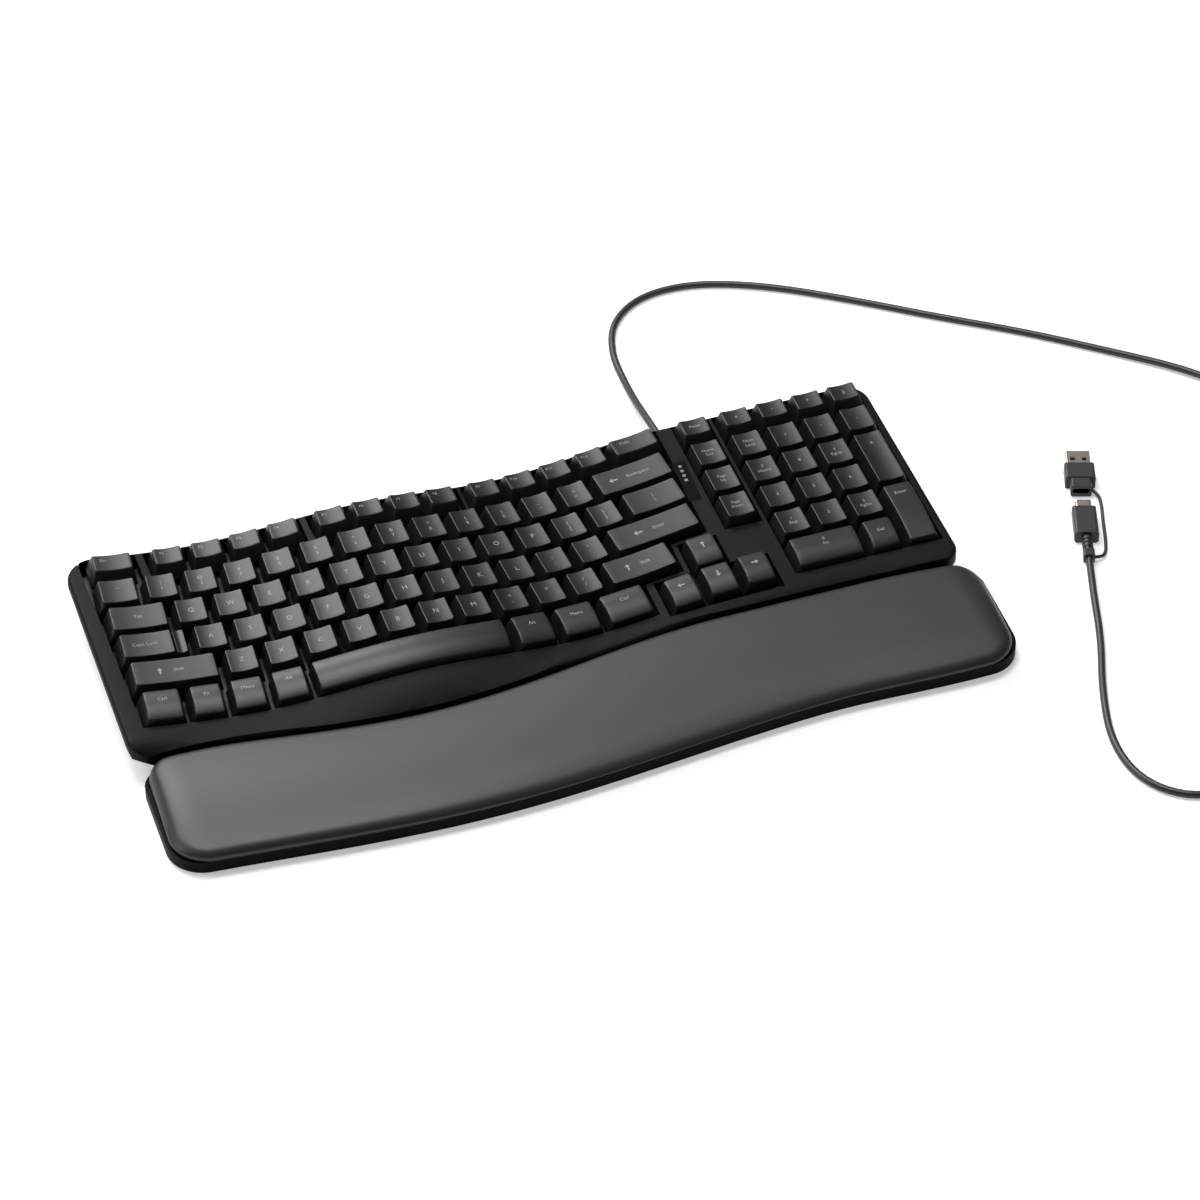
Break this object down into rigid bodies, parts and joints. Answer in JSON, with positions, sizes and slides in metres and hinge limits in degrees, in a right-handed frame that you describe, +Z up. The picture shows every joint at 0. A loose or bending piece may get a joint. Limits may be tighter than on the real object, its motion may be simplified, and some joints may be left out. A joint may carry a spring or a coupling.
{
  "type": "ergonomic keyboard",
  "caption": "Black wired ergonomic keyboard with curved key rows, a raised middle, a number pad, a padded wrist rest and a coiled cord that ends in a plug with an adapter.",
  "frame": {"origin": "on the desk, below the middle of the keyboard with its wrist rest", "axes": "+X to the user's right along the keys, +Y away from the user, +Z up"},
  "size_m": [0.6604, 0.4444, 0.0376],
  "materials": {
    "case_plastic": "fine satin grain",
    "key_plastic": "satin",
    "plate_plastic": "matt",
    "dome_rubber": "matt",
    "membrane_film": "satin film",
    "plate_steel": "zinc plated",
    "circuit_board": "solder resist",
    "chip_plastic": "matt",
    "window_gloss": "gloss",
    "light_lens": "frosted",
    "screw_steel": "black zinc",
    "pad_rubber": "matt",
    "board_plastic": "matt",
    "cushion_skin": "smooth satin",
    "cord_rubber": "satin",
    "tie_plastic": "satin",
    "connector_metal": "plated"
  },
  "bodies": {
    "keyboard_base": {"bottom_case": "case_plastic", "top_case": "case_plastic", "key_guide_plate": "plate_plastic", "rubber_dome_sheet": "dome_rubber", "membrane_circuit": "membrane_film", "backing_plate": "plate_steel", "controller_board": "circuit_board", "board_parts": "chip_plastic", "status_window": "window_gloss", "status_lights": "light_lens", "case_screws": "screw_steel", "rubber_pads": "pad_rubber", "wrist_rest_base": "case_plastic", "wrist_rest_board": "board_plastic", "wrist_rest_cushion": "cushion_skin", "wrist_rest_screws": "screw_steel", "cord_gland": "cord_rubber", "cord_lead": "cord_rubber", "cord_coil": "cord_rubber", "cord_tail": "cord_rubber", "coil_tie": "tie_plastic", "plug_body": "cord_rubber", "plug_shell": "connector_metal", "plug_relief": "cord_rubber", "adapter_tether": "cord_rubber", "adapter_body": "cord_rubber", "adapter_shell": "connector_metal"},
    "escape_key": {"escape_key": "key_plastic"},
    "launch_key": {"launch_key": "key_plastic"},
    "backspace_key": {"backspace_key": "key_plastic"},
    "tab_key": {"tab_key": "key_plastic"},
    "caps_lock_key": {"caps_lock_key": "key_plastic"},
    "enter_key": {"enter_key": "key_plastic"},
    "left_shift_key": {"left_shift_key": "key_plastic"},
    "right_shift_key": {"right_shift_key": "key_plastic"},
    "space_bar": {"space_bar": "key_plastic"},
    "arrow_up_key": {"arrow_up_key": "key_plastic"},
    "arrow_left_key": {"arrow_left_key": "key_plastic"},
    "arrow_down_key": {"arrow_down_key": "key_plastic"},
    "arrow_right_key": {"arrow_right_key": "key_plastic"},
    "numpad_plus_key": {"numpad_plus_key": "key_plastic"},
    "numpad_enter_key": {"numpad_enter_key": "key_plastic"},
    "numpad_zero_key": {"numpad_zero_key": "key_plastic"},
    "function_keys_left": {"function_keys_left": "key_plastic"},
    "function_keys_middle": {"function_keys_middle": "key_plastic"},
    "function_keys_right": {"function_keys_right": "key_plastic"},
    "number_row_keys": {"number_row_keys": "key_plastic"},
    "q_row_keys": {"q_row_keys": "key_plastic"},
    "a_row_keys": {"a_row_keys": "key_plastic"},
    "z_row_keys": {"z_row_keys": "key_plastic"},
    "left_modifier_keys": {"left_modifier_keys": "key_plastic"},
    "right_modifier_keys": {"right_modifier_keys": "key_plastic"},
    "navigation_keys": {"navigation_keys": "key_plastic"},
    "media_keys": {"media_keys": "key_plastic"},
    "numpad_keys": {"numpad_keys": "key_plastic"},
    "tilt_foot_left": {"tilt_foot_left": "case_plastic", "tilt_foot_grip_left": "pad_rubber"},
    "tilt_foot_right": {"tilt_foot_right": "case_plastic", "tilt_foot_grip_right": "pad_rubber"}
  },
  "joints": [
    {"name": "escape_key_press", "type": "slide", "parent": "keyboard_base", "child": "escape_key", "axis": [0, 0.0722, -0.9974], "range_m": [0, 0.0032], "stiffness_N_per_m": 130, "springref_m": -0.001},
    {"name": "launch_key_press", "type": "slide", "parent": "keyboard_base", "child": "launch_key", "axis": [0, 0.0722, -0.9974], "range_m": [0, 0.0032], "stiffness_N_per_m": 130, "springref_m": -0.001},
    {"name": "backspace_key_press", "type": "slide", "parent": "keyboard_base", "child": "backspace_key", "axis": [0, 0.0722, -0.9974], "range_m": [0, 0.0032], "stiffness_N_per_m": 130, "springref_m": -0.001},
    {"name": "tab_key_press", "type": "slide", "parent": "keyboard_base", "child": "tab_key", "axis": [0, 0.0722, -0.9974], "range_m": [0, 0.0032], "stiffness_N_per_m": 130, "springref_m": -0.001},
    {"name": "caps_lock_key_press", "type": "slide", "parent": "keyboard_base", "child": "caps_lock_key", "axis": [0, 0.0722, -0.9974], "range_m": [0, 0.0032], "stiffness_N_per_m": 130, "springref_m": -0.001},
    {"name": "enter_key_press", "type": "slide", "parent": "keyboard_base", "child": "enter_key", "axis": [0, 0.0722, -0.9974], "range_m": [0, 0.0032], "stiffness_N_per_m": 130, "springref_m": -0.001},
    {"name": "left_shift_key_press", "type": "slide", "parent": "keyboard_base", "child": "left_shift_key", "axis": [0, 0.0722, -0.9974], "range_m": [0, 0.0032], "stiffness_N_per_m": 130, "springref_m": -0.001},
    {"name": "right_shift_key_press", "type": "slide", "parent": "keyboard_base", "child": "right_shift_key", "axis": [0, 0.0722, -0.9974], "range_m": [0, 0.0032], "stiffness_N_per_m": 130, "springref_m": -0.001},
    {"name": "space_bar_press", "type": "slide", "parent": "keyboard_base", "child": "space_bar", "axis": [0, 0.0722, -0.9974], "range_m": [0, 0.0032], "stiffness_N_per_m": 130, "springref_m": -0.001},
    {"name": "arrow_up_key_press", "type": "slide", "parent": "keyboard_base", "child": "arrow_up_key", "axis": [0, 0.0722, -0.9974], "range_m": [0, 0.0032], "stiffness_N_per_m": 130, "springref_m": -0.001},
    {"name": "arrow_left_key_press", "type": "slide", "parent": "keyboard_base", "child": "arrow_left_key", "axis": [0, 0.0722, -0.9974], "range_m": [0, 0.0032], "stiffness_N_per_m": 130, "springref_m": -0.001},
    {"name": "arrow_down_key_press", "type": "slide", "parent": "keyboard_base", "child": "arrow_down_key", "axis": [0, 0.0722, -0.9974], "range_m": [0, 0.0032], "stiffness_N_per_m": 130, "springref_m": -0.001},
    {"name": "arrow_right_key_press", "type": "slide", "parent": "keyboard_base", "child": "arrow_right_key", "axis": [0, 0.0722, -0.9974], "range_m": [0, 0.0032], "stiffness_N_per_m": 130, "springref_m": -0.001},
    {"name": "numpad_plus_key_press", "type": "slide", "parent": "keyboard_base", "child": "numpad_plus_key", "axis": [0, 0.0722, -0.9974], "range_m": [0, 0.0032], "stiffness_N_per_m": 130, "springref_m": -0.001},
    {"name": "numpad_enter_key_press", "type": "slide", "parent": "keyboard_base", "child": "numpad_enter_key", "axis": [0, 0.0722, -0.9974], "range_m": [0, 0.0032], "stiffness_N_per_m": 130, "springref_m": -0.001},
    {"name": "numpad_zero_key_press", "type": "slide", "parent": "keyboard_base", "child": "numpad_zero_key", "axis": [0, 0.0722, -0.9974], "range_m": [0, 0.0032], "stiffness_N_per_m": 130, "springref_m": -0.001},
    {"name": "function_keys_left_press", "type": "slide", "parent": "keyboard_base", "child": "function_keys_left", "axis": [0, 0.0722, -0.9974], "range_m": [0, 0.0032], "stiffness_N_per_m": 520, "springref_m": -0.001},
    {"name": "function_keys_middle_press", "type": "slide", "parent": "keyboard_base", "child": "function_keys_middle", "axis": [0, 0.0722, -0.9974], "range_m": [0, 0.0032], "stiffness_N_per_m": 520, "springref_m": -0.001},
    {"name": "function_keys_right_press", "type": "slide", "parent": "keyboard_base", "child": "function_keys_right", "axis": [0, 0.0722, -0.9974], "range_m": [0, 0.0032], "stiffness_N_per_m": 520, "springref_m": -0.001},
    {"name": "number_row_keys_press", "type": "slide", "parent": "keyboard_base", "child": "number_row_keys", "axis": [0, 0.0722, -0.9974], "range_m": [0, 0.0032], "stiffness_N_per_m": 1690, "springref_m": -0.001},
    {"name": "q_row_keys_press", "type": "slide", "parent": "keyboard_base", "child": "q_row_keys", "axis": [0, 0.0722, -0.9974], "range_m": [0, 0.0032], "stiffness_N_per_m": 1690, "springref_m": -0.001},
    {"name": "a_row_keys_press", "type": "slide", "parent": "keyboard_base", "child": "a_row_keys", "axis": [0, 0.0722, -0.9974], "range_m": [0, 0.0032], "stiffness_N_per_m": 1430, "springref_m": -0.001},
    {"name": "z_row_keys_press", "type": "slide", "parent": "keyboard_base", "child": "z_row_keys", "axis": [0, 0.0722, -0.9974], "range_m": [0, 0.0032], "stiffness_N_per_m": 1300, "springref_m": -0.001},
    {"name": "left_modifier_keys_press", "type": "slide", "parent": "keyboard_base", "child": "left_modifier_keys", "axis": [0, 0.0722, -0.9974], "range_m": [0, 0.0032], "stiffness_N_per_m": 520, "springref_m": -0.001},
    {"name": "right_modifier_keys_press", "type": "slide", "parent": "keyboard_base", "child": "right_modifier_keys", "axis": [0, 0.0722, -0.9974], "range_m": [0, 0.0032], "stiffness_N_per_m": 390, "springref_m": -0.001},
    {"name": "navigation_keys_press", "type": "slide", "parent": "keyboard_base", "child": "navigation_keys", "axis": [0, 0.0722, -0.9974], "range_m": [0, 0.0032], "stiffness_N_per_m": 520, "springref_m": -0.001},
    {"name": "media_keys_press", "type": "slide", "parent": "keyboard_base", "child": "media_keys", "axis": [0, 0.0722, -0.9974], "range_m": [0, 0.0032], "stiffness_N_per_m": 520, "springref_m": -0.001},
    {"name": "numpad_keys_press", "type": "slide", "parent": "keyboard_base", "child": "numpad_keys", "axis": [0, 0.0722, -0.9974], "range_m": [0, 0.0032], "stiffness_N_per_m": 1820, "springref_m": -0.001},
    {"name": "tilt_foot_left_hinge", "type": "hinge", "parent": "keyboard_base", "child": "tilt_foot_left", "pos_m": [-0.14, 0.08, 0.0031], "axis": [1, 0, 0], "range_deg": [0, 95]},
    {"name": "tilt_foot_right_hinge", "type": "hinge", "parent": "keyboard_base", "child": "tilt_foot_right", "pos_m": [0.14, 0.08, 0.0031], "axis": [1, 0, 0], "range_deg": [0, 95]}
  ]
}
